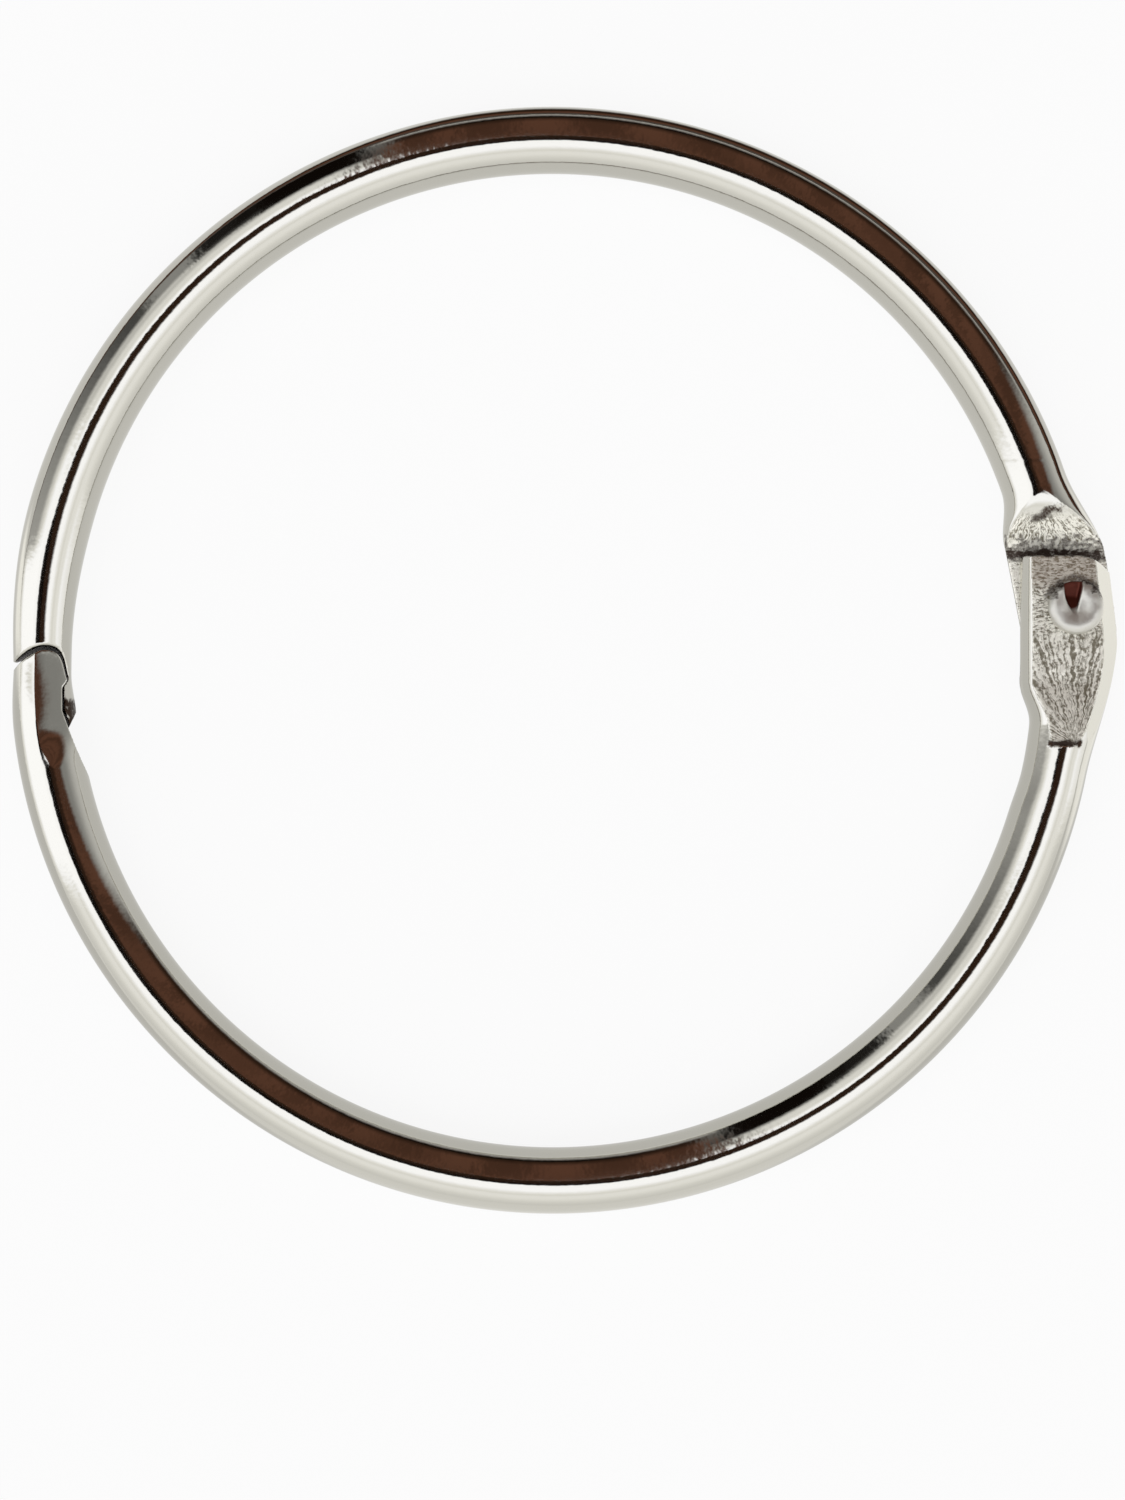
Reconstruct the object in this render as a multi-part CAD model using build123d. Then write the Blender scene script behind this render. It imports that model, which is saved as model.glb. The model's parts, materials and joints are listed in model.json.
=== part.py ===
from build123d import *
from math import acos, asin, atan2, cos, degrees, hypot, radians, sin, sqrt, tan
import os

# The ring lies flat in XY and z = 0 is the middle of the wire.
# Sizes are in millimetres, for the nominal 2 inch ring.
wire_d = 3.47
wire_r = wire_d / 2
arc_r = 26.8

# Each half is an arc of its own, and the two centres are a little apart, so the closed ring is slightly tall.
upper_y = 0.5
lower_y = -0.6
lower_x = 0.07

# The hinge stands out past the arcs, so the middle of the outline is to the right of their centre.
outline_middle_x = 0.62

# Hinge: the rivet stands a little outside the wire's centreline, and the ears lap with a thin gap at z = 0.
rivet_offset = 0.45
rivet_x = lower_x + arc_r + rivet_offset
rivet_y = 2.72
lap_gap = 0.06
ear_face_z = 1.08
ear_reach = 2.7

# The wire is forged wider towards the ear, on each side by itself: the half width that it reaches, and the distances
# from the rivet where it starts and ends. The lower arm has a slight neck before it, and its ear narrows to its end.
lower_forging = {"inner": 2.27, "inner_span": (6.3, 4.0), "outer": 2.85, "outer_span": (8.6, 1.4), "narrowing": 0.13}
upper_forging = {"inner": 2.38, "inner_span": (6.9, 4.0), "outer": 2.75, "outer_span": (6.9, 2.1), "narrowing": 0.03}
lower_neck = 0.13
neck_span = (11.4, 8.8)
forged_from = -3.2
forged_to = 11.8
forge_steps = 15

# The coined facet on the ear's outer face: it bites in with a small step and slopes down to the ear.
facet_start = 7.26
facet_start_z = 1.66
facet_end = 3.9
facet_round_r = 4.0

# The flank slopes at 45 degrees beside the face: (distance from the rivet, x of the face's edge from the rivet).
flank_edge = [(-3.4, 0.93), (1.7, 1.46), (2.75, 1.46), (4.85, 1.2), (7.06, 0.81), (8.5, 0.85)]

# The ramp on the lap side runs from the wire's crest down to the lap face.
ramp_foot = 2.84
ramp_top = 5.4
ramp_top_z = 1.66
ramp_lead = 6.6
ramp_lead_z = 1.79
ramp_round_r = 2.0

# Hinge rivet: the shank is tight in the back ear and turns in the front ear.
shank_r = 0.95
shank_clearance = 0.05
head_r = 1.475
head_gap = 0.03
front_head_z = 1.8
back_head_r = 1.6
back_head_z = -1.66
head_edge = 0.12
roll_crest_r = 0.8
dimple_z = 1.66
leaf_tip = (-0.08, -0.42)
leaf_bulge = (-0.52, 0.45)
leaf_left = (-0.56, 1.7)
leaf_right = (0.38, 1.7)
leaf_floor_z = 1.17
leaf_tip_z = 1.7
leaf_slope = 30
leaf_draft = 6

# Latch, in the plane z = 0: u runs inward from the wire's centreline and v runs along the ring. The cut slants both
# ways, so higher up it lies further inward and further along. The mouth leaves a gap all round, and play along v.
latch_slant_u = 16.0
latch_slant_v = 12.0
latch_gap = 0.1
latch_play = 0.14
nose_points = [
    (-2.4, -1.5),
    (-1.45, -0.52),
    (-0.75, -0.04),
    (0.15, 0.18),
    (0.66, 0.06),
    (0.97, -0.44),
    (1.2, -1.3),
]
pocket_u = 0.92
pocket_top_v = -1.72
pocket_foot_v = -2.95
scoop_top = (1.36, -4.1)
scoop_middle = (1.78, -5.05)
scoop_end = (2.71, -6.5)
barb_tip = (1.3, -3.78)
barb_shoulder = (1.9, -2.45)
window_y = -3.0
window_length = 10.0

# The wire is drawn thinner between these heights towards the latch, and the tongue swells again to its barb.
upper_end_r = 1.5
upper_taper = (8.0, -1.2)
upper_end_y = (-4.3, 8.9)
tongue_swell = 0.15
tongue_span = (-0.8, -2.8)
lower_end_r = 1.52
lower_taper = (-3.6, 0.6)
lower_end_y = (-4.5, 1.1)
taper_step = 1.1

far = 12.0


# A point of the wire's centreline at a distance from the rivet, in the hinge's own frame: the rivet is at the
# origin, the wire runs away along -Y, and the ring's inside is towards -X. The plane's x is outward and its y is up.
def wire_plane(distance, straight, shift=0.0):
    turn = max(distance - straight, 0.0) / arc_r
    outward = Vector(cos(turn), -sin(turn), 0)
    centre = Vector(-rivet_offset - arc_r, -min(distance, straight), 0)
    along = Vector(-sin(turn), -cos(turn), 0)
    return Plane(origin=centre + outward * (arc_r + shift), x_dir=outward, z_dir=along)


# A smooth share from 0 to 1 as a value goes from the first end of a span to the second.
def share(value, span):
    t = min(max((value - span[0]) / (span[1] - span[0]), 0.0), 1.0)
    return t * t * (3 - 2 * t)


# A section of the forged end: an oval as high as the wire, with a half width to each side.
def forged_section(distance, straight, forging, neck):
    inner = wire_r - neck * share(distance, neck_span)
    inner += (forging["inner"] - inner) * share(distance, forging["inner_span"])
    outer = wire_r + (forging["outer"] - wire_r) * share(distance, forging["outer_span"])
    outer -= forging["narrowing"] * max(forging["outer_span"][1] - distance, 0)
    return wire_plane(distance, straight, (outer - inner) / 2) * Ellipse((outer + inner) / 2, wire_r)


# The forged end before it is coined, from past the rivet to the round wire.
def forged_end(straight, forging, neck):
    step = (forged_to - forged_from) / forge_steps
    distances = [forged_from + step * i for i in range(forge_steps + 1)]
    return loft([forged_section(d, straight, forging, neck).faces()[0] for d in distances])


# The wire's arc, from the forged end to the latch side.
def wire_arc(straight, end_angle):
    start = wire_plane(forged_to, straight)
    turn = degrees((forged_to - straight) / arc_r)
    axis = Axis((-rivet_offset - arc_r, -straight, 0), (0, 0, -1))
    return revolve(start * Circle(wire_r), axis=axis, revolution_arc=end_angle - turn)


# A bar across the hinge whose side view is a closed outline of (distance from the rivet, height) points.
def die(points, radii):
    outline = FilletPolyline(*[(-d, z) for d, z in points], radius=radii, close=True)
    return extrude(Plane.YZ * make_face(outline), amount=far / 2, both=True)


# What is pressed away beside the ear's face, as a wedge that follows the face's edge.
def flank():
    wedge = [(-far / 2, far / 2), (far / 2, -far / 2), (far / 2, far / 2)]
    sections = []
    for distance, edge in flank_edge:
        plane = Plane(origin=(edge, -distance, ear_face_z), x_dir=(1, 0, 0), z_dir=(0, -1, 0))
        sections.append((plane * make_face(Polyline(*wedge, close=True))).faces()[0])
    return loft(sections, ruled=True)


# What is trimmed off past the ear's straight end. The outer corner is rounded about the rivet so that it can turn.
def ear_trim():
    past_end = Pos(0, ear_reach + far / 2) * Rectangle(2 * far, far)
    outer_corner = Pos(far / 2, far / 2) * Rectangle(far, far)
    return past_end + (outer_corner - Circle(ear_reach))


# The hinge end of an arm with its face upwards: forged, coined on both sides, trimmed and drilled.
# The ramp's foot lies along the end of the other arm's ear, which leans.
def hinge_end(straight, lean, hole_r, forging, neck=0.0):
    top = wire_d
    facet = die(
        [(facet_start, top), (facet_start, facet_start_z), (facet_end, ear_face_z), (-far, ear_face_z), (-far, top)],
        [0, 0, facet_round_r, 0, 0],
    )
    ramp = die(
        [
            (ramp_lead, -top),
            (ramp_lead, -ramp_lead_z),
            (ramp_top, -ramp_top_z),
            (ramp_foot, lap_gap / 2),
            (-far, lap_gap / 2),
            (-far, -top),
        ],
        [0, 0, ramp_round_r, 0, 0, 0],
    )
    trim = extrude(ear_trim(), amount=far / 2, both=True)
    hole = extrude(Circle(hole_r), amount=far / 2, both=True)
    return forged_end(straight, forging, neck) - facet - flank() - Rot(0, 0, lean) * ramp - trim - hole


# The lean at which the upper arc runs into its ear, and the length of the straight between them.
def upper_lean():
    rise = rivet_y - upper_y
    lean = atan2(rise, rivet_x) + acos((arc_r + rivet_offset) / hypot(rivet_x, rise))
    return degrees(lean), rivet_x * sin(lean) - rise * cos(lean)


# Points of an outline moved outward by a gap, to the left of the way that the outline runs.
def grown(points, gap):
    moved = []
    for i, (u, v) in enumerate(points):
        before, after = points[max(i - 1, 0)], points[min(i + 1, len(points) - 1)]
        du, dv = after[0] - before[0], after[1] - before[1]
        moved.append((u - dv / hypot(du, dv) * gap, v + du / hypot(du, dv) * gap))
    return moved


# The lower arm's latch outline: rounded nose, tooth, pocket for the barb, and the scooped inner side.
# With a gap it is the room that the upper arm leaves for it.
def nose_face(gap=0.0):
    pocket_points = [(pocket_u, pocket_top_v), (pocket_u, pocket_foot_v), scoop_top]
    points = grown(nose_points + pocket_points, gap)
    tooth = len(nose_points)
    nose = Spline(*points[:tooth])
    pocket = Polyline(*points[tooth - 1 :])
    scoop = ThreePointArc(points[-1], scoop_middle, scoop_end)
    rest = Polyline(scoop_end, (far, -far), (-far, -far), points[0])
    return make_face([*nose.edges(), *pocket.edges(), *scoop.edges(), *rest.edges()])


# The space past the upper arm's barb, whose inner corner slopes.
def past_barb():
    slope = (barb_shoulder[1] - barb_tip[1]) / (barb_shoulder[0] - barb_tip[0])
    side = wire_d
    corner = (side, barb_tip[1] + slope * (side - barb_tip[0]))
    return make_face(Polyline(barb_tip, corner, (side, -far), (-side, -far), (-side, barb_tip[1]), close=True))


# A latch outline as a slanting block through the whole wire.
def latch_block(outline):
    direction = (tan(radians(latch_slant_u)), tan(radians(latch_slant_v)), 1)
    return extrude(Pos(-arc_r, 0) * outline, amount=wire_d, dir=direction, both=True)


# The wire towards the latch as a loft of circles, by the height of their middles. It is straight between the heights
# where the two arcs end, and below that it follows the lower one.
def latch_wire(heights, arc_top, radius):
    steps = round((heights[1] - heights[0]) / taper_step)
    sections = []
    for i in range(steps + 1):
        y = heights[0] + (heights[1] - heights[0]) * i / steps
        turn = asin((max(y - arc_top, 0) + min(y - lower_y, 0)) / arc_r)
        outward = Vector(-cos(turn), sin(turn), 0)
        plane = Plane(origin=(-arc_r * cos(turn), y, 0), x_dir=outward, z_dir=(sin(turn), cos(turn), 0))
        sections.append((plane * Circle(radius(y))).faces()[0])
    return loft(sections)


def upper_end_radius(y):
    return wire_r + (upper_end_r - wire_r) * share(y, upper_taper) + tongue_swell * share(y, tongue_span)


def lower_end_radius(y):
    return wire_r + (lower_end_r - wire_r) * share(y, lower_taper)


def make_lower_arm():
    lean, _ = upper_lean()
    straight = rivet_y - lower_y
    arm = hinge_end(straight, lean, shank_r + shank_clearance, lower_forging, lower_neck)
    arm += wire_arc(straight, 180 - degrees(asin((lower_y - lower_end_y[0]) / arc_r)))
    arm = Pos(rivet_x, rivet_y, 0) * arm
    arm += Pos(lower_x, 0) * latch_wire(lower_end_y, far, lower_end_radius)
    window = Pos(0, window_y) * Rectangle(2 * wire_d, window_length)
    return arm - latch_block(window - nose_face())


def make_upper_arm():
    lean, straight = upper_lean()
    arm = hinge_end(straight, lean, shank_r, upper_forging)
    arm += wire_arc(straight, 180 - lean - degrees(asin((upper_end_y[1] - upper_y) / arc_r)))
    arm = Pos(rivet_x, rivet_y, 0) * Rot(0, 0, lean) * Rot(180, 0, 0) * arm
    arm += latch_wire(upper_end_y, upper_y, upper_end_radius)
    mouth = Pos(0, latch_play) * nose_face(latch_gap)
    return arm - latch_block(mouth) - latch_block(past_barb())


# What is left of the rivet's bore after its end is rolled over: a leaf that opens to one side, with a floor that
# slopes down from its tip.
def leaf_hollow():
    left = ThreePointArc(leaf_tip, leaf_bulge, leaf_left)
    rest = Polyline(leaf_left, leaf_right, leaf_tip)
    outline = make_face([*left.edges(), *rest.edges()])
    hollow = extrude(Pos(0, 0, leaf_floor_z) * outline, amount=wire_r, taper=-leaf_draft)
    floor = Pos(0, leaf_tip[1], leaf_tip_z) * Rot(-leaf_slope, 0, 0) * Pos(0, 0, -far / 2) * Box(far, far, far)
    return hollow - floor


# A semi-tubular rivet: a low factory head behind, and the hollow end rolled over in front.
def make_hinge_rivet():
    back_top = -ear_face_z
    front = ear_face_z + head_gap
    roll_z = front + head_edge + head_edge
    dome_height = back_top - head_edge - back_head_z
    dome_r = (back_head_r**2 + dome_height**2) / (2 * dome_height)
    dome_middle = (back_head_r / 2, back_head_z + dome_r - sqrt(dome_r**2 - (back_head_r / 2) ** 2))
    profile = [
        Polyline((0, 0), (0, dimple_z)),
        Spline((0, dimple_z), (roll_crest_r, front_head_z), (head_r, roll_z), tangents=[(1, 0), (0, -1)]),
        Polyline(
            (head_r, roll_z),
            (head_r - head_edge, front),
            (shank_r, front),
            (shank_r, back_top),
            (back_head_r, back_top),
            (back_head_r, back_top - head_edge),
        ),
        ThreePointArc((back_head_r, back_top - head_edge), dome_middle, (0, back_head_z)),
        Line((0, back_head_z), (0, 0)),
    ]
    outline = make_face([edge for piece in profile for edge in piece.edges()])
    return Pos(rivet_x, rivet_y, 0) * (revolve(Plane.XZ * outline, axis=Axis.Z) - leaf_hollow())


os.makedirs("parts", exist_ok=True)
for name, solid in (
    ("upper_arm", make_upper_arm()),
    ("lower_arm", make_lower_arm()),
    ("hinge_rivet", make_hinge_rivet()),
):
    export_step(Pos(-outline_middle_x, 0, 0) * solid, f"parts/{name}.step")
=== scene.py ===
import json
import math
import bpy
import bmesh
from mathutils import Matrix, Vector, noise


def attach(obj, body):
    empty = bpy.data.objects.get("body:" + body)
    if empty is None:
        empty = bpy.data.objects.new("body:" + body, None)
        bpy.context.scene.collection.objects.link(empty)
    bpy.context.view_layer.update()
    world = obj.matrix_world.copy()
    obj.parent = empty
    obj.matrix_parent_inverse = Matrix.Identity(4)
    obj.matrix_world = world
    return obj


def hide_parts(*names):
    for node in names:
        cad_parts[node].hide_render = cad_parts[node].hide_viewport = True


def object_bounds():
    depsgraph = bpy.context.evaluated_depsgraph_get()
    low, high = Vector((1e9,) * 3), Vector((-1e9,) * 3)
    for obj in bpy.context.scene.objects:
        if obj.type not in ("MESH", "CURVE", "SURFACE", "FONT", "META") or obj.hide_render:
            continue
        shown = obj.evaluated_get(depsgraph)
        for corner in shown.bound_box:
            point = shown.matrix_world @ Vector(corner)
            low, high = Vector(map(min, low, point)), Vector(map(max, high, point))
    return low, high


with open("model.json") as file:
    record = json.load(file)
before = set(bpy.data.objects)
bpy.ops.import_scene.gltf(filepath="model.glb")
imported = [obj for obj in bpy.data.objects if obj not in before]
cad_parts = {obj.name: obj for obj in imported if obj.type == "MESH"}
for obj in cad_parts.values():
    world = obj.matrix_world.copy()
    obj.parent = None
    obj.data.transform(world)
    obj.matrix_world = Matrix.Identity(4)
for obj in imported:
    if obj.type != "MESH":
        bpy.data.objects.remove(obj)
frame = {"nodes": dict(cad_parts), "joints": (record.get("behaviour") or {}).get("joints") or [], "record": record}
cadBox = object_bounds()
mm = 0.001
wireR = frame["record"]["mounts"][0]["dims"]["r_mm"]   # all the modelling below is in millimetres
hinge = Vector(frame["joints"][0]["pos_m"]) / mm
floorZ = cadBox[0].z

# The two half rings: centres of their arcs, and where the plain wire between the worked ends starts and
# stops. Its radius changes towards the latch, by height, and its half widths towards the ear, by the distance
# from the rivet.
arms = {
    "arcR": 26.8,
    "upper": {
        "node": "upper_arm", "body": "upper_half", "centre": (-0.62, 0.5), "from": 24.0, "to": 160.5,
        "endR": 1.5, "taper": (8.0, -1.2), "swell": 0.15, "swellSpan": (-0.8, -2.8),
        "straight": 2.957, "neck": 0.0, "inner": 2.38, "innerSpan": (6.9, 4.0),
        "outer": 2.75, "outerSpan": (6.9, 2.1), "narrowing": 0.03,
    },
    "lower": {
        "node": "lower_arm", "body": "lower_half", "centre": (-0.55, -0.6), "from": -18.6, "to": -163.5,
        "endR": 1.52, "taper": (-3.6, 0.6), "swell": 0.0, "swellSpan": (-0.8, -2.8),
        "straight": 3.32, "neck": 0.13, "inner": 2.27, "innerSpan": (6.3, 4.0),
        "outer": 2.85, "outerSpan": (8.6, 1.4), "narrowing": 0.13,
    },
    "neckSpan": (11.4, 8.8),
    "rivetOffset": 0.45,
    "overlap": 1.2,        # degrees that a worked end is cut longer before it is trimmed back
    "nearLatch": (0.022, 0.05),      # a point nearer to the drawn form than the first is put on it, and one
    "nearForging": (0.012, 0.03),    # further off than the second is left
    "around": 112,         # points around the wire
    "step": 0.42,          # length of one step of the wire
    "hingeVoxel": 0.075,
    "latchVoxel": 0.065,
    "hingeSmooth": 3,
    "latchSmooth": 3,
}

# How far the edges at the latch are rounded: passes of smoothing, for points between two heights and on
# either side.
latch = {
    "roundSpan": (-1.0, 3.0),
    "mouth": 15,           # the upper arm's lip
    "nose": 8,             # the lower arm's end, on its inner side
    "noseOuter": 13,       # and on its outer side
    "noseMiddle": -27.5,
    "flatTurn": 64.0,      # the flat on the nose faces this many degrees up, and spans twice flatHalf
    "flatHalf": 34.0,
    "flatShare": 0.8,
    "flatSpan": (-5.8, -3.6),
    "sootSpan": (-4.4, -3.9),    # the cut is darkened with painted shade above this height
    "barbSpan": (-1.9, -2.3),    # and the barb below this one
}

# The coined faces of the ears, by the distance from the rivet and the height there.
coin = {
    "lean": 10.84,
    "face": [(-3.4, 1.08), (3.9, 1.08), (7.26, 1.66)],
    "ramp": [(-3.0, 0.03), (2.84, 0.03), (5.4, -1.66), (6.6, -1.79)],
    "reach": 0.06,         # a point this near to a coined face takes its texture
    "depth": 0.03,
    "strokeLong": 0.8,
    "strokeWide": 0.24,
    "strokeTurn": 35.0,
    "grain": 0.16,
    "smoothFrom": 4.9,     # the ramp is left smooth past this distance, and its edges there are rounded
    "rampSmooth": 17,
    "topSpan": (3.6, 7.6),
    "notch": 7.26,         # painted shade sits in the step at the end of the face,
    "foot": 2.9,           # at the foot of the ramp,
    "earEnd": -2.78,       # by the ear's end,
    "rimR": 1.5,           # round the top of the rivet,
    "patch": (25.1, 7.58),       # and a dark patch lies on the ramp
    "patchTurn": 22.0,
    "patchSize": (1.0, 0.34),
    "fan": (26.65, -4.6),        # the strokes on the face run towards this point
    "rampFan": (24.6, 8.8),      # and those on the ramp towards this one
}

rivet = {
    "voxel": 0.036, "smooth": 18, "dent": 0.03, "dentSize": 0.6,
    "crest": 0.8, "top": 1.8, "middle": 1.66, "fall": 1.0,     # the rolled rim's own form
}

nickel = {
    "colour": (0.6, 0.588, 0.535),
    # the colour of the painted shade
    "soot": (0.04, 0.024, 0.016),
    "leaf": (0.13, 0.032, 0.02),
    "rough": 0.07,
    "roughWorked": 0.26,   # added near the rivet
    "ripple": 0.0034,      # height of the wire's slow waves
    "rippleSize": 0.8,
    "jag": 0.003,          # height of its small waves
    "jagSize": 0.3,
}

# The coined faces are dull, with painted shade in the valleys between the strokes and painted highlights on the
# ridges.
pressing = {
    "valley": (0.16, 0.14, 0.09),
    "ridge": (0.93, 0.91, 0.81),
    # the colour of the painted shade towards the front ear's top end
    "dirt": (0.2, 0.135, 0.085),
    "metal": 0.4,
    "rough": 0.36,
    "stroke": 0.03,        # height of the strokes
    "wide": 0.1,
    "long": 0.24,
    "bend": 0.5,
}

studio = {
    "floor": 0.86,
    "floorHalf": 3.0,      # metres
    "floorShine": 0.74,    # the floor in the metal, and what is added past the ring's top, bottom and sides
    "topShine": 0.08,
    "bottomShine": 0.22,
    "sideShine": 0.5,
    "deskEdge": 31.8,      # the dark desk starts here past the ring's top, and nearer at the right
    "deskBend": 0.0175,
    "brown": (0.14, 0.062, 0.038),
    "dark": (0.034, 0.017, 0.01),
    "black": (0.006, 0.004, 0.003),
    "far": (0.1, 0.08, 0.07),
    "level": 0.9,
    "box": 1.54,
    "panel": 1.6,
}

camera = {"place": (-0.07, -4.76, 155.0), "frameHeight": 78.9, "sensor": 36.0}


# A copy of a CAD node's mesh in millimetres, with its triangles joined.
def nodeCopy(node):
    bm = bmesh.new()
    bm.from_mesh(frame["nodes"][node].data)
    bmesh.ops.scale(bm, vec=(1 / mm,) * 3, verts=bm.verts)
    bmesh.ops.remove_doubles(bm, verts=bm.verts, dist=0.001)
    return bm


# Cuts away what lies past a plane, and closes the cut if asked to.
def cutOff(bm, point, outward, close):
    geom = bm.verts[:] + bm.edges[:] + bm.faces[:]
    cut = bmesh.ops.bisect_plane(
        bm, geom=geom, dist=0.0005, plane_co=point, plane_no=outward, clear_outer=True)
    edges = [e for e in cut["geom_cut"] if isinstance(e, bmesh.types.BMEdge)]
    if close:
        bmesh.ops.holes_fill(bm, edges=edges)
    return edges


# An even mesh of small squares over the same form.
def evenMesh(bm, voxel):
    rough = bpy.data.meshes.new("rough")
    bm.to_mesh(rough)
    bm.free()
    holder = bpy.data.objects.new("rough", rough)
    bpy.context.scene.collection.objects.link(holder)
    remesh = holder.modifiers.new("squares", "REMESH")
    remesh.mode = "VOXEL"
    remesh.voxel_size = voxel
    done = bpy.data.meshes.new_from_object(holder.evaluated_get(bpy.context.evaluated_depsgraph_get()))
    bpy.data.objects.remove(holder)
    even = bmesh.new()
    even.from_mesh(done)
    return even


def smooth(bm, times, verts=None):
    for _ in range(times):
        bmesh.ops.smooth_vert(
            bm, verts=verts or bm.verts, factor=0.5, use_axis_x=True, use_axis_y=True, use_axis_z=True)


# A smooth step from 0 to 1 as value goes from low to high, where low may be the higher.
def share(low, high, value):
    t = min(max((value - low) / (high - low), 0.0), 1.0)
    return t * t * (3 - 2 * t)


# Height of a line of (distance, height) points.
def lineAt(points, distance):
    for (d0, z0), (d1, z1) in zip(points, points[1:]):
        if d0 <= distance <= d1:
            return z0 + (z1 - z0) * (distance - d0) / (d1 - d0)
    return None


def radial(degrees):
    return Vector((math.cos(math.radians(degrees)), math.sin(math.radians(degrees)), 0))


def along(degrees):
    return Vector((-math.sin(math.radians(degrees)), math.cos(math.radians(degrees)), 0))


# The nearest point of an arm's centreline at the latch and on the arc. The two arcs' ends are joined by a
# straight.
def centreline(arm, co):
    cx, cy = arm["centre"]
    low, high = arms["lower"]["centre"][1], arms["upper"]["centre"][1]
    if co.x < 0 and low <= co.y <= high:
        return Vector((cx - arms["arcR"], co.y, 0))
    if co.x < 0:
        cy = high if co.y > high else low
    out = Vector((co.x - cx, co.y - cy, 0)).normalized()
    return Vector((cx, cy, 0)) + out * arms["arcR"]


# Radius of the wire at a height by the latch.
def latchRadius(arm, y):
    drawn = wireR + (arm["endR"] - wireR) * share(*arm["taper"], y)
    return drawn + arm["swell"] * share(*arm["swellSpan"], y)


# Points that should lie on the round wire by the latch are put on it exactly, and the rounded edges are
# left.
def trueLatch(bm, arm):
    for v in bm.verts:
        middle = centreline(arm, v.co)
        radius = latchRadius(arm, middle.y)
        off = v.co - middle
        keep = 1 - share(*arms["nearLatch"], abs(off.length - radius))
        v.co = middle + off * (1 + keep * (radius / off.length - 1))


# The upper arm meets the hinge turned over and leant. Done twice, this gives the first place again.
def turnedOver(arm, place):
    x, y, z = place
    if arm["node"] == "upper_arm":
        turn = math.radians(coin["lean"])
        x, y = x * math.cos(turn) + y * math.sin(turn), x * math.sin(turn) - y * math.cos(turn)
        z = -z
    return Vector((x, y, z))


# A point in the hinge's own frame: x outward, y back past the rivet, z towards the ear's outer face.
def hingeFrame(arm, co):
    return turnedOver(arm, co - hinge)


def outOfHingeFrame(arm, co):
    return hinge + turnedOver(arm, co)


# Points that should lie on the forged wire by the hinge are put on it exactly: each section is an oval.
def trueForging(bm, arm):
    straight, arcR = arm["straight"], arms["arcR"]
    for v in bm.verts:
        co = hingeFrame(arm, v.co)
        pivot = Vector((-arms["rivetOffset"] - arcR, min(co.y, 0), 0))
        distance = -co.y
        if distance > straight:
            pivot.y = -straight
            distance = straight + arcR * math.atan2(-straight - co.y, co.x - pivot.x)
        out = Vector((co.x - pivot.x, co.y - pivot.y, 0))
        wide = out.length - arcR
        if distance <= straight:
            out, wide = Vector((1, 0, 0)), co.x + arms["rivetOffset"]
        out.normalize()
        inner = wireR - arm["neck"] * share(*arms["neckSpan"], distance)
        inner += (arm["inner"] - inner) * share(*arm["innerSpan"], distance)
        outer = wireR + (arm["outer"] - wireR) * share(*arm["outerSpan"], distance)
        outer -= arm["narrowing"] * max(arm["outerSpan"][1] - distance, 0)
        middle, half = (outer - inner) / 2, (outer + inner) / 2
        size = math.hypot((wide - middle) / half, co.z / wireR)
        keep = 1 - share(*arms["nearForging"], abs(size - 1) * wireR)
        grow = keep * (1 / size - 1) if size else 0
        co += out * ((wide - middle) * grow)
        co.z += co.z * grow
        v.co = outOfHingeFrame(arm, co)


# Distance along the ear, distance along the ramp, and height in the hinge's own frame, for either arm.
def earPlace(arm, co):
    lean = math.radians(coin["lean"])
    x, y, z = hingeFrame(arm, co)
    return -y, x * math.sin(lean) - y * math.cos(lean), z


# How much a point belongs to a coined face, from 0 to 1.
def coined(arm, co, normal):
    faceD, rampD, z = earPlace(arm, co)
    nz = -normal.z if arm["node"] == "upper_arm" else normal.z
    best = 0.0
    for points, d, up in ((coin["face"], faceD, nz), (coin["ramp"], rampD, -nz)):
        height = lineAt(points, d)
        if height is not None and up > 0.75:
            best = max(best, 1 - share(coin["reach"] * 0.4, coin["reach"], abs(z - height)))
    return best


# The coined texture: long strokes that cross a finer grain.
def coinTexture(co):
    turn = math.radians(coin["strokeTurn"])
    u = co.x * math.cos(turn) - co.y * math.sin(turn)
    v = co.x * math.sin(turn) + co.y * math.cos(turn)
    strokes = noise.noise(Vector((u / coin["strokeWide"], v / coin["strokeLong"], co.z * 2)))
    grain = noise.noise(co / coin["grain"])
    wide = noise.noise(co / (coin["strokeLong"] * 1.6) + Vector((7.0, 3.0, 1.0)))
    return strokes * (0.75 + 0.5 * wide) + 0.35 * grain + 0.5 * wide
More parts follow.
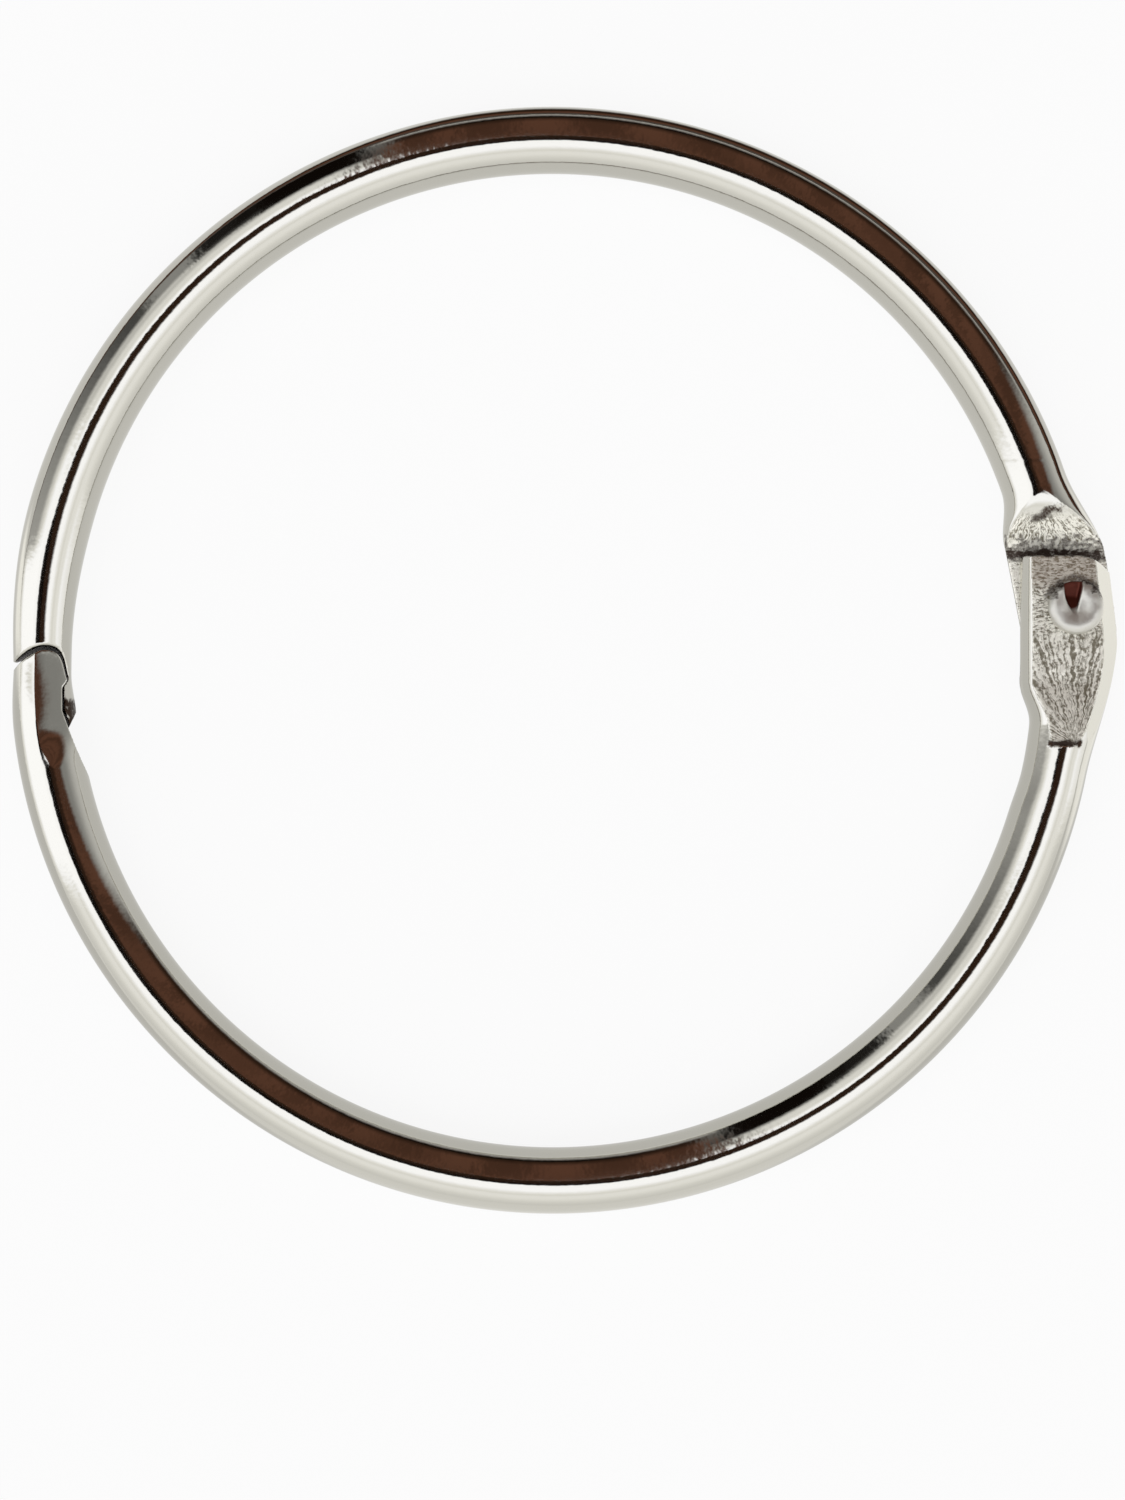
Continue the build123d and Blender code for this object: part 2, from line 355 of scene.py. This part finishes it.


# Painted shade in the step at the end of the coined face, along the foot of the ramp, by the ear's end, round the
# top of the rivet, and a dark patch on the ramp.
def paintedHingeShade(arm, co):
    faceD, rampD, z = earPlace(arm, co)
    ragged = 0.3 * noise.noise(co / 0.3) + 0.2 * noise.noise(co / 0.11)
    notch = 1 - share(0.0, 0.3, abs(faceD - coin["notch"] + 0.12) + 0.5 * ragged)
    notch *= share(1.45, 1.55, z) * (1 - share(1.7, 1.725, z))
    foot = 1 - share(0.1, 0.4, abs(rampD - coin["foot"] + 0.12) + 0.7 * ragged)
    fringe = 0.6 * (1 - share(0.1, 1.0, rampD - coin["foot"] + 1.2 * noise.noise(co / 0.22)))
    ramp = max(foot, fringe) * share(0.25, -0.05, z) * share(-1.3, -0.9, z) * share(2.3, 2.45, rampD)
    end = 0.85 * (1 - share(0.0, 0.28, faceD - coin["earEnd"] + 0.6 * ragged)) * share(0.2, 0.5, z)
    out = (co - hinge).xy.length
    rim = 0.6 * (1 - share(0.05, 0.3, abs(out - coin["rimR"]) + 0.4 * ragged))
    rim *= share(-0.1, 0.8, co.y - hinge.y) * share(0.9, 1.0, z)
    turn = math.radians(coin["patchTurn"])
    across, up = co.x - coin["patch"][0], co.y - coin["patch"][1]
    u = (across * math.cos(turn) + up * math.sin(turn)) / coin["patchSize"][0]
    v = (up * math.cos(turn) - across * math.sin(turn)) / coin["patchSize"][1]
    patch = 0.75 * (1 - share(0.3, 1.3, math.hypot(u, v) + 1.6 * ragged)) * share(0.5, 0.8, co.z)
    return max(notch, ramp, end, rim, patch)


# Marks the coined faces and the painted shade with attributes, and presses the texture into the faces.
def coinFaces(bm, arm):
    mark, soot = bm.verts.layers.float.new("coined"), bm.verts.layers.float.new("soot")
    bm.normal_update()
    moves = []
    for v in bm.verts:
        v[mark] = coined(arm, v.co, v.normal)
        if earPlace(arm, v.co)[2] < 0:
            v[mark] *= 1 - share(coin["smoothFrom"] - 0.5, coin["smoothFrom"] + 0.2, earPlace(arm, v.co)[1])
        v[soot] = paintedHingeShade(arm, v.co)
        if v[mark] > 0:
            moves.append((v, v.normal * (v[mark] * coin["depth"] * (coinTexture(v.co) - 0.6))))
    for v, move in moves:
        v.co += move


# Painted shade on the latch's cut faces, which lie deeper than the wire's own surface, and on top of the barb.
def paintedLatchShade(bm, arm):
    mark, soot = bm.verts.layers.float.new("coined"), bm.verts.layers.float.new("soot")
    for v in bm.verts:
        middle = centreline(arm, v.co)
        depth = latchRadius(arm, middle.y) - (v.co - middle).length
        ragged = 0.5 + noise.noise(v.co / 0.2)
        v[mark] = 0.0
        v[soot] = share(0.03, 0.3, depth + 0.04 * ragged) * share(*latch["sootSpan"], v.co.y)
        if arm["node"] == "upper_arm":
            barb = share(*latch["barbSpan"], v.co.y) * min(0.5 + ragged, 1)
            v[soot] = max(v[soot], barb)


# A worked end of an arm, cut a little long from the CAD form and given an even mesh.
def workedEnd(arm, angle, side, voxel, times):
    bm = nodeCopy(arm["node"])
    far = angle + side * arms["overlap"]
    cutOff(bm, Vector((*arm["centre"], 0)), along(far) * side, True)
    bm = evenMesh(bm, voxel)
    smooth(bm, times)
    return bm


# Trims a worked end back to where the plain wire joins it, and leaves it open there.
def trimBack(bm, arm, angle, side):
    cutOff(bm, Vector((*arm["centre"], 0)), along(angle) * side, False)


def hingeEnd(arm):
    side = 1 if arm["to"] > arm["from"] else -1
    bm = workedEnd(arm, arm["from"], side, arms["hingeVoxel"], arms["hingeSmooth"])
    trueForging(bm, arm)
    low, high = coin["topSpan"]
    top = []
    for v in bm.verts:
        _, rampD, z = earPlace(arm, v.co)
        if low < rampD < high and z < 0:
            top.append(v)
    smooth(bm, coin["rampSmooth"], verts=top)
    coinFaces(bm, arm)
    trimBack(bm, arm, arm["from"], side)
    return bm


# The nose is worked nearly flat between its top and its inner side.
def flatten(bm, arm):
    turn = math.radians(latch["flatTurn"])
    for v in bm.verts:
        middle = centreline(arm, v.co)
        off = v.co - middle
        inward = Vector((-off.x, -off.y, 0)).normalized() if off.xy.length > 0 else Vector((1, 0, 0))
        inward *= 1 if (v.co - Vector((*arm["centre"], 0))).xy.length > arms["arcR"] else -1
        facing = inward * math.cos(turn) + Vector((0, 0, math.sin(turn)))
        past = off.dot(facing) - latchRadius(arm, middle.y) * math.cos(math.radians(latch["flatHalf"]))
        if past > 0:
            v.co -= facing * (past * latch["flatShare"] * share(*latch["flatSpan"], middle.y))


def latchEnd(arm):
    side = -1 if arm["to"] > arm["from"] else 1
    bm = workedEnd(arm, arm["to"], side, arms["latchVoxel"], arms["latchSmooth"])
    low, high = latch["roundSpan"]
    edges = [v for v in bm.verts if low < v.co.y < high]
    if arm["node"] == "upper_arm":
        smooth(bm, latch["mouth"], verts=edges)
    else:
        smooth(bm, latch["nose"], verts=edges)
        outer = [v for v in edges if v.co.x < latch["noseMiddle"]]
        smooth(bm, latch["noseOuter"] - latch["nose"], verts=outer)
    trueLatch(bm, arm)
    paintedLatchShade(bm, arm)
    if arm["node"] == "lower_arm":
        flatten(bm, arm)
    trimBack(bm, arm, arm["to"], side)
    return bm


# The plain wire, a circle turned about the arc's centre.
def plainWire(arm):
    bm = bmesh.new()
    start, end = arm["from"], arm["to"]
    gap = math.copysign(math.degrees(arms["step"] * 0.4 / arms["arcR"]), end - start)
    centre = Vector((*arm["centre"], 0))
    turn = Matrix.Rotation(math.radians(start + gap), 4, "Z") @ Matrix.Translation((arms["arcR"], 0, 0))
    circle = bmesh.ops.create_circle(bm, segments=arms["around"], radius=wireR, cap_ends=False)
    bmesh.ops.transform(bm, matrix=Matrix.Rotation(math.pi / 2, 4, "X"), verts=circle["verts"])
    bmesh.ops.transform(bm, matrix=Matrix.Translation(centre) @ turn, verts=circle["verts"])
    sweep = math.radians(end - start - 2 * gap)
    steps = round(abs(sweep) * arms["arcR"] / arms["step"])
    bmesh.ops.spin(bm, geom=bm.edges[:], cent=centre, axis=(0, 0, 1), angle=sweep, steps=steps)
    bmesh.ops.recalc_face_normals(bm, faces=bm.faces)
    return bm


def addInto(bm, other):
    part = bpy.data.meshes.new("part")
    other.to_mesh(part)
    other.free()
    bm.from_mesh(part)
    bpy.data.meshes.remove(part)


def finished(bm, name, body, node):
    bmesh.ops.scale(bm, vec=(mm,) * 3, verts=bm.verts)
    mesh = bpy.data.meshes.new(name)
    for face in bm.faces:
        face.smooth = True
    bm.to_mesh(mesh)
    bm.free()
    piece = bpy.data.objects.new(name, mesh)
    bpy.context.scene.collection.objects.link(piece)
    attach(piece, body)
    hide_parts(node)
    return piece


def makeArm(name, arm):
    bm = plainWire(arm)
    bm.verts.layers.float.new("coined")
    bm.verts.layers.float.new("soot")
    addInto(bm, hingeEnd(arm))
    addInto(bm, latchEnd(arm))
    for angle in (arm["from"], arm["to"]):
        near = Vector((*arm["centre"], 0)) + radial(angle) * arms["arcR"]
        rim = [e for e in bm.edges if e.is_boundary and (e.verts[0].co - near).length < 2 * wireR]
        bmesh.ops.bridge_loops(bm, edges=rim)
    bmesh.ops.recalc_face_normals(bm, faces=bm.faces)
    print("made", name, len(bm.verts), "points, open edges:", sum(e.is_boundary for e in bm.edges))
    return finished(bm, name, arm["body"], arm["node"])


# The rivet's hollow is marked by how deep it lies under the rolled rim.
def makeRivet():
    bm = evenMesh(nodeCopy("hinge_rivet"), rivet["voxel"])
    smooth(bm, rivet["smooth"])
    bm.normal_update()
    mark, soot = bm.verts.layers.float.new("leaf"), bm.verts.layers.float.new("soot")
    for v in bm.verts:
        out = (v.co - hinge).xy.length
        ragged = 0.3 * noise.noise(v.co / 0.3)
        # painted shadow along the upper edge of the rivet's head
        v[soot] = 0.8 * share(1.1, 1.4, out + ragged) * share(0, 0.1, v.co.z)
        v[soot] *= share(0.1, 0.9, v.co.y - hinge.y + ragged)
        if out < rivet["crest"]:
            rim = rivet["middle"] + (rivet["top"] - rivet["middle"]) * share(0, rivet["crest"], out)
        else:
            rim = rivet["top"] - rivet["fall"] * (out - rivet["crest"]) ** 2
        v[mark] = share(0.1, 0.2, rim - v.co.z) * share(0.9, 1.1, v.co.z) * (1 - share(1.3, 1.4, out))
        dent = noise.noise(v.co / rivet["dentSize"]) - 0.4
        v.co += v.normal * (rivet["dent"] * dent * (1 - v[mark]))
    print("made hingeRivet", len(bm.verts), "points")
    return finished(bm, "hingeRivet", "upper_half", "hinge_rivet")


# Wraps a socket, so that shader maths reads as an expression.
class Num:
    def __init__(self, nodes, link):
        self.nodes, self.link = nodes, link

    def op(self, operation, *values):
        return self.nodes.num("ShaderNodeMath", {"operation": operation}, dict(enumerate(values)))

    def __add__(self, other):
        return self.op("ADD", self, other)

    def __radd__(self, other):
        return self.op("ADD", other, self)

    def __sub__(self, other):
        return self.op("SUBTRACT", self, other)

    def __rsub__(self, other):
        return self.op("SUBTRACT", other, self)

    def __mul__(self, other):
        return self.op("MULTIPLY", self, other)

    def __rmul__(self, other):
        return self.op("MULTIPLY", other, self)

    def __truediv__(self, other):
        return self.op("DIVIDE", self, other)

    def __rtruediv__(self, other):
        return self.op("DIVIDE", other, self)


class Nodes:
    def __init__(self, tree):
        self.tree = tree
        tree.nodes.clear()

    # Adds a node: its settings are set first, then its sockets' values or links.
    def add(self, kind, settings, sockets):
        node = self.tree.nodes.new(kind)
        for key, value in settings.items():
            if key == "stops":
                self.stops(node.color_ramp, value)
            else:
                setattr(node, key, value)
        for key, value in sockets.items():
            if isinstance(value, Num):
                value = value.link
            if isinstance(value, bpy.types.NodeSocket):
                self.tree.links.new(value, node.inputs[key])
            else:
                node.inputs[key].default_value = value
        return node

    def stops(self, ramp, stops):
        while len(ramp.elements) < len(stops):
            ramp.elements.new(0.5)
        for element, (place, colour) in zip(ramp.elements, stops):
            element.position = place
            element.color = (*colour, 1)

    def num(self, kind, settings, sockets, output=0):
        return Num(self, self.add(kind, settings, sockets).outputs[output])

    # A smooth step from 0 to 1 as value goes from low to high.
    def step(self, value, low, high):
        settings = {"interpolation_type": "SMOOTHSTEP"}
        return self.num("ShaderNodeMapRange", settings, {"Value": value, "From Min": low, "From Max": high})

    # 1 between low and high, with soft sides.
    def band(self, value, low, high, soft):
        return self.step(value, low - soft, low + soft) * (1 - self.step(value, high - soft, high + soft))

    def mix(self, factor, first, second):
        sockets = {0: factor, 6: self.colour(first), 7: self.colour(second)}
        return self.add("ShaderNodeMix", {"data_type": "RGBA", "clamp_factor": True}, sockets).outputs[2]

    def colour(self, value):
        return (*value, 1) if isinstance(value, tuple) else value

    def split(self, vector):
        node = self.add("ShaderNodeSeparateXYZ", {}, {0: vector})
        return [Num(self, out) for out in node.outputs]


def newMaterial(name):
    material = bpy.data.materials.new(name)
    material.use_nodes = True
    return material, Nodes(material.node_tree)


def noiseAt(n, place, size, detail=2.0, roughness=0.5):
    sockets = {"Vector": place, "Scale": 1 / (size * mm), "Detail": detail, "Roughness": roughness}
    return n.num("ShaderNodeTexNoise", {"noise_dimensions": "3D"}, sockets)


# Strokes pressed into the coined faces: they fan out over the face and the ramp, and lie level beside the
# rivet.
def pressedStrokes(n, place, x, y, z):
    ramp = n.step(y, (hinge.y + 2.8) * mm, (hinge.y + 3.2) * mm)
    level = n.band(y, (hinge.y - 1.3) * mm, (hinge.y + 2.9) * mm, 0.6 * mm)
    bend = (noiseAt(n, place, 0.55, 2.0) - 0.5) * (pressing["bend"] * mm)
    cross = (noiseAt(n, place, 0.4, 2.0) - 0.5) * (pressing["bend"] * mm)
    across = x - (coin["fan"][0] * (1 - ramp) + coin["rampFan"][0] * ramp) * mm + bend
    down = y - (coin["fan"][1] * (1 - ramp) + coin["rampFan"][1] * ramp) * mm
    fan = across.op("ARCTAN2", across, down.op("ABSOLUTE", down)) * (3.0 / pressing["wide"])
    reach = ((across * across + down * down).op("SQRT") + cross) * (1 / (pressing["long"] * mm))
    deep = z * (1 / (0.3 * mm))
    fanned = n.add("ShaderNodeCombineXYZ", {}, {0: fan, 1: reach, 2: deep}).outputs[0]
    wide, long = 1 / (pressing["wide"] * 0.9 * mm), 1 / (pressing["long"] * mm)
    flat = n.add("ShaderNodeCombineXYZ", {}, {0: x * long, 1: (y + bend * 0.4) * wide, 2: deep}).outputs[0]
    sockets = {"Scale": 1.0, "Detail": 2.0, "Roughness": 0.55, "Distortion": 0.5}
    first = n.num("ShaderNodeTexNoise", {}, {"Vector": fanned, **sockets})
    second = n.num("ShaderNodeTexNoise", {}, {"Vector": flat, **sockets})
    crumple = noiseAt(n, place, 0.17, 3.0, 0.6)
    return (first * (1 - level) + second * level) * 0.62 + crumple * 0.38


# Bright nickel plating. The drawn wire has small waves and fine lines along it, the coined faces are dull
# and full of strokes with painted shade and highlights in their colour, and painted shade lies in the cuts and
# recesses.
def nickelMaterial(name, roughScale=1.0, bumpScale=1.0, metal=1.0):
    material, n = newMaterial(name)
    place = n.add("ShaderNodeTexCoord", {}, {}).outputs["Object"]
    coined = n.num("ShaderNodeAttribute", {"attribute_name": "coined"}, {}, "Fac")
    soot = n.num("ShaderNodeAttribute", {"attribute_name": "soot"}, {}, "Fac")
    leaf = n.num("ShaderNodeAttribute", {"attribute_name": "leaf"}, {}, "Fac")
    x, y, z = n.split(place)
    ring = ((x + 0.58 * mm) * (x + 0.58 * mm) + y * y).op("SQRT")
    around = z.op("ARCTAN2", z, ring - arms["arcR"] * mm)
    lengthwise = n.add("ShaderNodeCombineXYZ", {}, {0: around * 22, 1: y * 60, 2: x * 60}).outputs[0]
    lines = n.num("ShaderNodeTexNoise", {}, {"Vector": lengthwise, "Scale": 1.0, "Detail": 2.0})
    ripple = noiseAt(n, place, nickel["rippleSize"], 1.0)
    jag = noiseAt(n, place, nickel["jagSize"], 1.0)
    grain = noiseAt(n, place, 0.09, 3.0, 0.6)
    cloud = noiseAt(n, place, 2.6, 3.0)
    strokes = pressedStrokes(n, place, x, y, z)
    wire = ripple * nickel["ripple"] + jag * nickel["jag"] + lines * 0.002
    pressed = coined * (strokes * pressing["stroke"] + grain * 0.006)
    height = (wire * bumpScale + pressed + soot * grain * 0.02) * mm
    bump = n.add("ShaderNodeBump", {}, {"Strength": 1.0, "Distance": 1.0, "Height": height}).outputs[0]
    paintedRelief = coined * (0.85 + 0.15 * cloud)
    offX, offY = x - hinge.x * mm, y - hinge.y * mm
    worked = 1 - n.step((offX * offX + offY * offY).op("SQRT"), 5.0 * mm, 8.5 * mm)
    rough = nickel["rough"] * roughScale * (0.7 + 0.6 * cloud) * (1 - coined)
    rough = rough + coined * pressing["rough"] * (0.8 + 0.4 * grain)
    rough = rough + soot * 0.3 + worked * nickel["roughWorked"]
    front = n.step(z, 0.2 * mm, 0.5 * mm)
    lightened = 0.08 * (1 - front)     # the mating faces seen beside the front ear
    # painted shade in the strokes' valleys and painted highlights on their ridges, with more highlight on the
    # mating faces
    relief = n.mix(n.step(strokes + lightened, 0.41, 0.56), pressing["valley"], pressing["ridge"])
    # painted shade: the front ear's coined face is darker and browner towards its top end
    topShade = n.band(y, (hinge.y + 1.1) * mm, (hinge.y + 2.9) * mm, 0.5 * mm) * 0.5 * front
    relief = n.mix(topShade, relief, pressing["dirt"])
    base = n.mix(paintedRelief, nickel["colour"], relief)
    # painted shade from the vertex marks, speckled by the strokes and grain
    speckled = n.step(soot + 1.3 * (strokes - 0.5) + 0.6 * (grain - 0.5), 0.1, 0.9)
    speckled = speckled * n.step(soot, 0.0, 0.15)
    base = n.mix(speckled, base, nickel["soot"])
    base = n.mix(leaf, base, nickel["leaf"])
    shiny = metal * (1 - coined * (1 - pressing["metal"]))
    sockets = {"Base Color": base, "Metallic": shiny, "Roughness": rough, "Normal": bump}
    surface = n.add("ShaderNodeBsdfPrincipled", {}, sockets).outputs[0]
    n.add("ShaderNodeOutputMaterial", {}, {"Surface": surface})
    return material


# The floor is white to the eye. In the metal it is light grey, brighter past the ring's left, right and
# bottom, and ends in a dark desk past its top.
def floorMaterial():
    material, n = newMaterial("paleFloor")
    x, y, _ = n.split(n.add("ShaderNodeTexCoord", {}, {}).outputs["Object"])
    x, y = x / mm, y / mm
    path = n.add("ShaderNodeLightPath", {}, {})
    rays = ("Is Camera Ray", "Is Glossy Ray", "Is Transmission Ray")
    direct, glossy, through = [Num(n, path.outputs[key]) for key in rays]
    shine = studio["floorShine"] + studio["topShine"] * n.step(y, -5, 10)
    shine = shine + studio["bottomShine"] * (1 - n.step(y, -31, -26))
    shine = shine + studio["sideShine"] * (1 - n.step(x, -35, -31)) * n.band(y, 0, 9, 2)
    shine = shine + studio["sideShine"] * n.step(x, 28.5, 31) * n.band(y, -12, 11, 3)
    right = x.op("MAXIMUM", x, 0.0)
    past = y - studio["deskEdge"] + studio["deskBend"] * right * right
    past = past.op("MINIMUM", past, y - 12)
    desk = n.mix(n.step(past, 10, 24), studio["dark"], studio["far"])
    desk = n.mix(n.step(past, 3, 9) * (1 - n.step(past, 9, 20)), desk, studio["brown"])
    plain = n.add("ShaderNodeCombineXYZ", {}, {0: shine, 1: shine * 0.995, 2: shine * 0.98}).outputs[0]
    colour = n.mix(glossy, (1.0, 1.0, 1.0), n.mix(n.step(past, -1, 1.5), plain, desk))
    diffuse = n.add("ShaderNodeBsdfDiffuse", {}, {"Color": (studio["floor"],) * 3 + (1,)}).outputs[0]
    white = n.add("ShaderNodeEmission", {}, {"Color": colour, "Strength": 1.0}).outputs[0]
    factor = 0.9 * direct + glossy + through           # the tenth that is left keeps the object's shadow
    both = n.add("ShaderNodeMixShader", {}, {0: factor, 1: diffuse, 2: white}).outputs[0]
    n.add("ShaderNodeOutputMaterial", {}, {"Surface": both})
    return material


# What the metal shows of the room, by turn and height in degrees. Turns go from the hinge's side over the
# ring's top to the latch's, heights go up from the floor, and the panel's turns start at the latch's side.
room = {
    "bandHeights": (42, 48),
    "ceiling": (48, 62),
    "gapTurns": (108, 152), "gapHeights": (46, 74),    # a dimmer part of the ceiling
    "glowTurns": (-15, 12), "glowTop": (22, 34),       # a brighter part past the hinge
    "panelTurns": (-22, 11), "panelFoot": (0, 16), "panelTop": (60, 66),
    "wallTurns": (118, 170), "wallTop": (28, 52), "wallLight": (138, 168), "wallDim": 0.08,
    "stripeTurns": (131, 138), "stripe": 0.36,
    "sideFrom": (1, 7), "sideTo": (108, 114), "sideTop": (66, 76),
    "darkFrom": 30.0, "darkTo": (106, 112), "darkBend": 0.012,
    "brownHeights": (14, 34),
    "gloomTurns": (60, 100), "gloomHeights": (10, 15),
    "blackTurns": (109, 124), "blackHeights": (-5, 50),
    "duskTurns": (124, 131), "duskHeights": (-5, 44),
    "overheadSize": (0.3, 0.14), "overheadDown": 0.04,
}


# Soft light from all round: a bright ceiling on three sides, a white panel at the left, a dim wall and a dark
# room past the ring's top, and a dark patch overhead.
def makeWorld():
    world = bpy.data.worlds.new("studio")
    bpy.context.scene.world = world
    world.use_nodes = True
    n = Nodes(world.node_tree)
    direction = n.add("ShaderNodeTexCoord", {}, {}).outputs["Generated"]
    x, y, z = n.split(direction)
    degree = math.degrees(1)
    turn = x.op("ARCTAN2", y, x) * degree
    back = x.op("ARCTAN2", y, 0 - x) * degree          # 0 at the left
    height = x.op("ARCSINE", z) * degree
    soft = studio["level"] + 0.1 * n.step(height, -2, 18) + 0.2 * n.step(height, 12, 34)
    soft = soft - 0.1 * n.band(height, *room["bandHeights"], 3)
    soft = soft + (studio["box"] - studio["level"] - 0.3) * n.step(height, *room["ceiling"])
    soft = soft - 0.45 * n.band(turn, *room["gapTurns"], 4) * n.band(height, *room["gapHeights"], 6)
    soft = soft + 0.35 * n.band(turn, *room["glowTurns"], 4) * (1 - n.step(height, *room["glowTop"]))
    panel = n.band(back, *room["panelTurns"], 3) * (1 - n.step(height, *room["panelTop"]))
    panel = panel * (0.25 + 0.75 * n.step(height, *room["panelFoot"]))
    level = soft * (1 - panel) + panel * studio["panel"]
    dim = room["wallDim"] + 0.42 * n.step(turn, *room["wallLight"])
    stripe = n.band(turn, *room["stripeTurns"], 1.5)
    dim = dim * (1 - stripe) + room["stripe"] * stripe
    wall = n.band(turn, *room["wallTurns"], 3) * (1 - n.step(height, *room["wallTop"]))
    level = level * (1 - wall) + wall * dim
    half = 0.7 - 0.38 * n.step(height, 4, 44) - 0.2 * n.step(height, 50, 66)
    side = n.step(turn, *room["sideFrom"]) * (1 - n.step(turn, *room["sideTo"]))
    side = side * (1 - n.step(height, *room["sideTop"]))
    level = level * (1 - side) + side * half
    cool = n.step(level, 1.1, 1.5)                     # the brightest light is the whitest
    green, blue = level * (0.995 + 0.015 * cool), level * (0.98 + 0.09 * cool)
    light = n.add("ShaderNodeCombineXYZ", {}, {0: level, 1: green, 2: blue}).outputs[0]
    sockets = {"W": turn, "Scale": 0.17, "Detail": 2.0}
    stripes = n.num("ShaderNodeTexNoise", {"noise_dimensions": "1D"}, sockets)
    lit = n.step(height, *room["brownHeights"]) * (0.45 + 0.55 * n.step(stripes, 0.4, 0.6))
    brown = n.mix(lit, studio["dark"], studio["brown"])
    gloom = n.band(height, *room["gloomHeights"], 2) * n.band(turn, *room["gloomTurns"], 4)
    brown = n.mix(gloom, brown, studio["black"])
    curve = (height - 20).op("MAXIMUM", height - 20, 0.0)
    edge = turn + room["darkBend"] * curve * curve - room["darkFrom"]
    darkRoom = n.step(edge, -6, 6) * (1 - n.step(turn, *room["darkTo"]))
    darkRoom = darkRoom * (0.3 + 0.7 * n.step(height, 0, 12))
    black = n.band(turn, *room["blackTurns"], 2) * n.band(height, *room["blackHeights"], 6)
    dusk = n.band(turn, *room["duskTurns"], 1.5) * n.band(height, *room["duskHeights"], 6)
    black = black + dusk * 0.85
    wide, deep = room["overheadSize"]
    across, down = x / wide, (y + room["overheadDown"]) / deep
    blur = 0.3 * n.step(x, -0.05, 0.1)
    overhead = 1 - n.step(across * across + down * down, 0.8 - blur, 1.15 + blur)
    overhead = overhead * n.step(z, 0.5, 0.6)
    patch = n.mix(n.step(x + 0.5 * y, -0.1, 0.02), studio["black"], studio["dark"])
    colour = n.mix(darkRoom, light, brown)
    colour = n.mix(black, colour, studio["black"])
    colour = n.mix(overhead, colour, patch)
    path = n.add("ShaderNodeLightPath", {}, {})
    colour = n.mix(Num(n, path.outputs["Is Camera Ray"]), colour, (1.0, 1.0, 1.0))
    background = n.add("ShaderNodeBackground", {}, {"Color": colour, "Strength": 1.0}).outputs[0]
    n.add("ShaderNodeOutputWorld", {}, {"Surface": background})


def makeFloor():
    bm = bmesh.new()
    bmesh.ops.create_grid(bm, x_segments=1, y_segments=1, size=studio["floorHalf"])
    bmesh.ops.translate(bm, vec=(0, 0, floorZ), verts=bm.verts)
    mesh = bpy.data.meshes.new("floor")
    bm.to_mesh(mesh)
    bm.free()
    floor = bpy.data.objects.new("floor", mesh)
    bpy.context.scene.collection.objects.link(floor)
    floor.data.materials.append(floorMaterial())


def makeCamera():
    data = bpy.data.cameras.new("camera")
    data.sensor_width = camera["sensor"]
    data.lens = camera["sensor"] * camera["place"][2] / camera["frameHeight"]
    data.clip_start = 0.01
    eye = bpy.data.objects.new("camera", data)
    eye.location = Vector(camera["place"]) * mm
    bpy.context.scene.collection.objects.link(eye)
    bpy.context.scene.camera = eye


upperArm = makeArm("upperArm", arms["upper"])
lowerArm = makeArm("lowerArm", arms["lower"])
hingeRivet = makeRivet()
plating = nickelMaterial("nickelPlating")
for piece in (upperArm, lowerArm):
    piece.data.materials.append(plating)
hingeRivet.data.materials.append(nickelMaterial("rivetPlating", 5.5, 3.0, 0.75))
print("pieces and plating done")

makeFloor()
makeWorld()
makeCamera()
bpy.context.scene.view_settings.view_transform = "Standard"
print("studio done")
